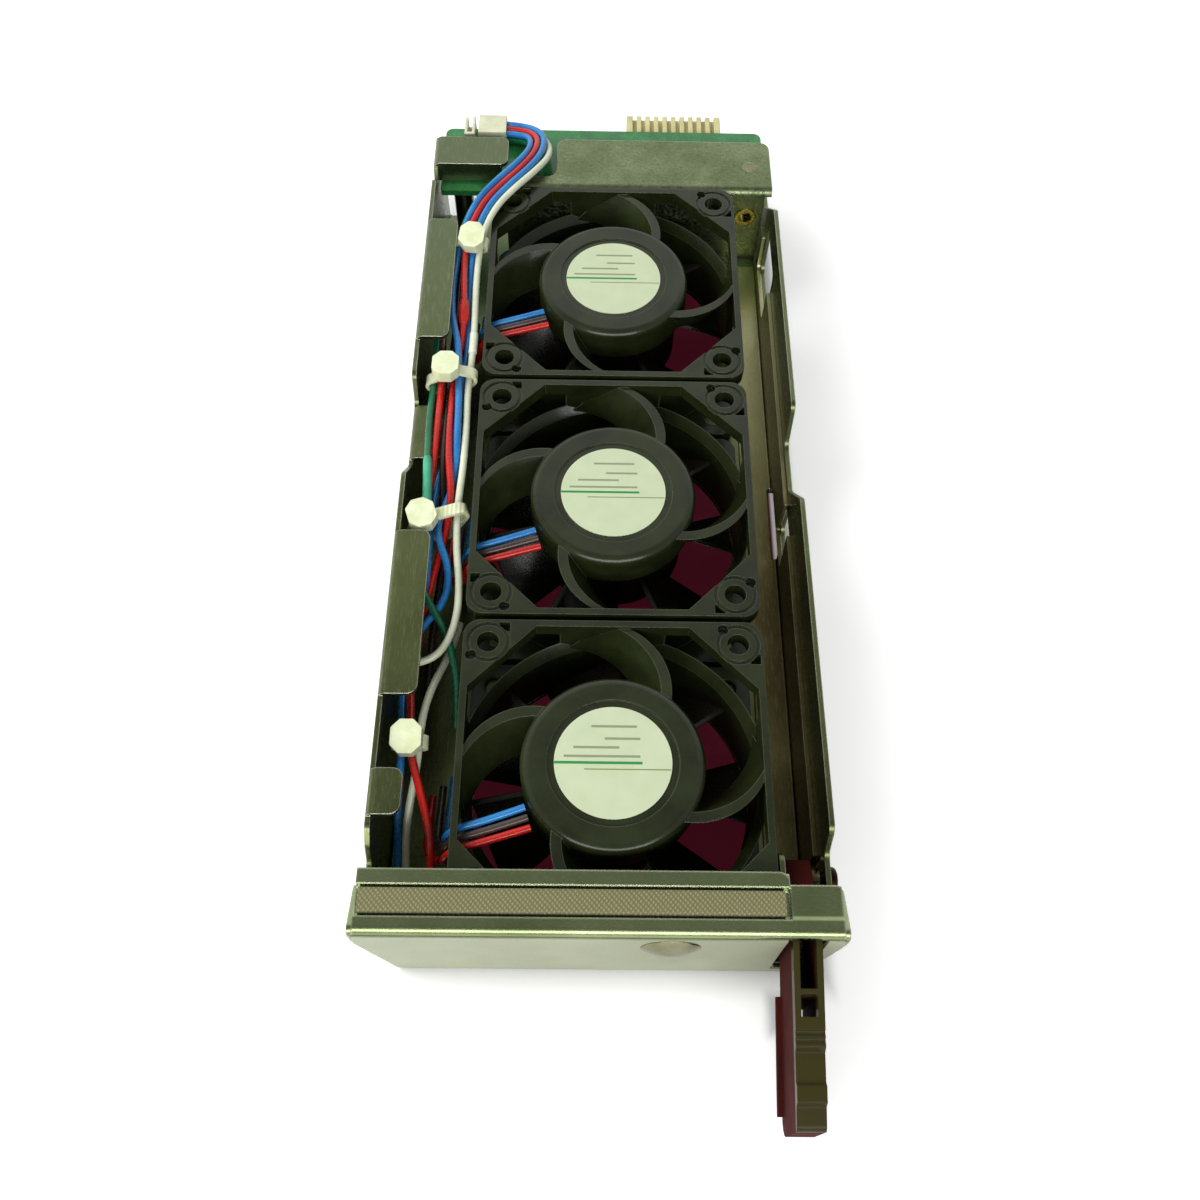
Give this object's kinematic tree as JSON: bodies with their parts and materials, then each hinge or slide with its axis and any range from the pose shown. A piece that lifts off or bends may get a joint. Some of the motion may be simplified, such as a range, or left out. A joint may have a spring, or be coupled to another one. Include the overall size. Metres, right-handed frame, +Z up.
{
  "type": "server fan module",
  "caption": "Sheet-metal server fan tray with axial fans in a row, a side wiring channel, a gasketed front panel, a latch lever and a rear plug-in connector.",
  "frame": {"origin": "centre of the module's overall outline on its underside", "axes": "+X to the module's right seen from the front, +Y to the rear connector, +Z up through the fans"},
  "size_m": [0.092, 0.249, 0.0314],
  "materials": {
    "zinc_steel": "satin, fine brushed grain",
    "dark_steel": "dark passivated",
    "bright_steel": "polished",
    "spring_steel": "satin wire",
    "brass_ring": "satin",
    "overlay": "matte film",
    "gasket": "woven conductive fabric over foam",
    "board_green": "solder mask",
    "ivory_plastic": "satin",
    "white_plastic": "satin",
    "contact_metal": "plated",
    "nylon": "satin nylon",
    "wire_blue": "gloss",
    "wire_green": "gloss",
    "wire_red": "gloss",
    "wire_black": "gloss",
    "wire_white": "gloss",
    "lever_plastic": "satin",
    "tongue_steel": "satin",
    "fan_frame_plastic": "satin moulded",
    "rotor_plastic": "satin moulded",
    "shaft_steel": "ground",
    "bearing_steel": "ground",
    "windings": "varnished copper on laminations",
    "magnet": "bonded ferrite",
    "motor_board": "solder mask",
    "label_white": "matte film",
    "leads": "gloss"
  },
  "bodies": {
    "module": {"tray": "zinc_steel", "side_rail": "zinc_steel", "rear_bracket": "zinc_steel", "ring_nut": "brass_ring", "clinch_stud": "bright_steel", "board_post": "bright_steel", "board_screws": "dark_steel", "backplane_board": "board_green", "backplane_connector": "ivory_plastic", "connector_contacts": "contact_metal", "wire_header": "white_plastic", "side_header": "white_plastic", "front_panel": "zinc_steel", "front_overlay": "overlay", "emi_gasket": "gasket", "panel_stud": "bright_steel", "panel_screws": "dark_steel", "pivot_pin": "dark_steel", "lever_bracket": "zinc_steel", "lever_spring": "spring_steel", "wires_blue": "wire_blue", "wire_green": "wire_green", "wire_red": "wire_red", "wire_black": "wire_black", "wire_white": "wire_white", "cable_ties": "nylon", "fan_1_frame": "fan_frame_plastic", "fan_1_bearings": "bearing_steel", "fan_1_stator": "windings", "fan_1_motor_board": "motor_board", "fan_1_label": "label_white", "fan_1_leads": "leads", "fan_2_frame": "fan_frame_plastic", "fan_2_bearings": "bearing_steel", "fan_2_stator": "windings", "fan_2_motor_board": "motor_board", "fan_2_label": "label_white", "fan_2_leads": "leads", "fan_3_frame": "fan_frame_plastic", "fan_3_bearings": "bearing_steel", "fan_3_stator": "windings", "fan_3_motor_board": "motor_board", "fan_3_label": "label_white", "fan_3_leads": "leads"},
    "fan_1_impeller": {"fan_1_rotor": "rotor_plastic", "fan_1_shaft": "shaft_steel", "fan_1_magnet": "magnet"},
    "fan_2_impeller": {"fan_2_rotor": "rotor_plastic", "fan_2_shaft": "shaft_steel", "fan_2_magnet": "magnet"},
    "fan_3_impeller": {"fan_3_rotor": "rotor_plastic", "fan_3_shaft": "shaft_steel", "fan_3_magnet": "magnet"},
    "lever": {"latch_lever": "lever_plastic", "lever_tongue": "tongue_steel", "lever_rivets": "bright_steel"}
  },
  "joints": [
    {"name": "fan_1_spin", "type": "hinge", "parent": "module", "child": "fan_1_impeller", "pos_m": [0.0025, 0.0614, 0.012], "axis": [0, 0, 1], "continuous": true},
    {"name": "fan_2_spin", "type": "hinge", "parent": "module", "child": "fan_2_impeller", "pos_m": [0.0025, 0, 0.012], "axis": [0, 0, 1], "continuous": true},
    {"name": "fan_3_spin", "type": "hinge", "parent": "module", "child": "fan_3_impeller", "pos_m": [0.0025, -0.0614, 0.012], "axis": [0, 0, 1], "continuous": true},
    {"name": "lever_pivot", "type": "hinge", "parent": "module", "child": "lever", "pos_m": [0.0368, -0.0815, 0.0178], "axis": [1, 0, 0], "range_deg": [0, 18], "stiffness_Nm_per_rad": 0.1, "springref_deg": -11.46}
  ]
}
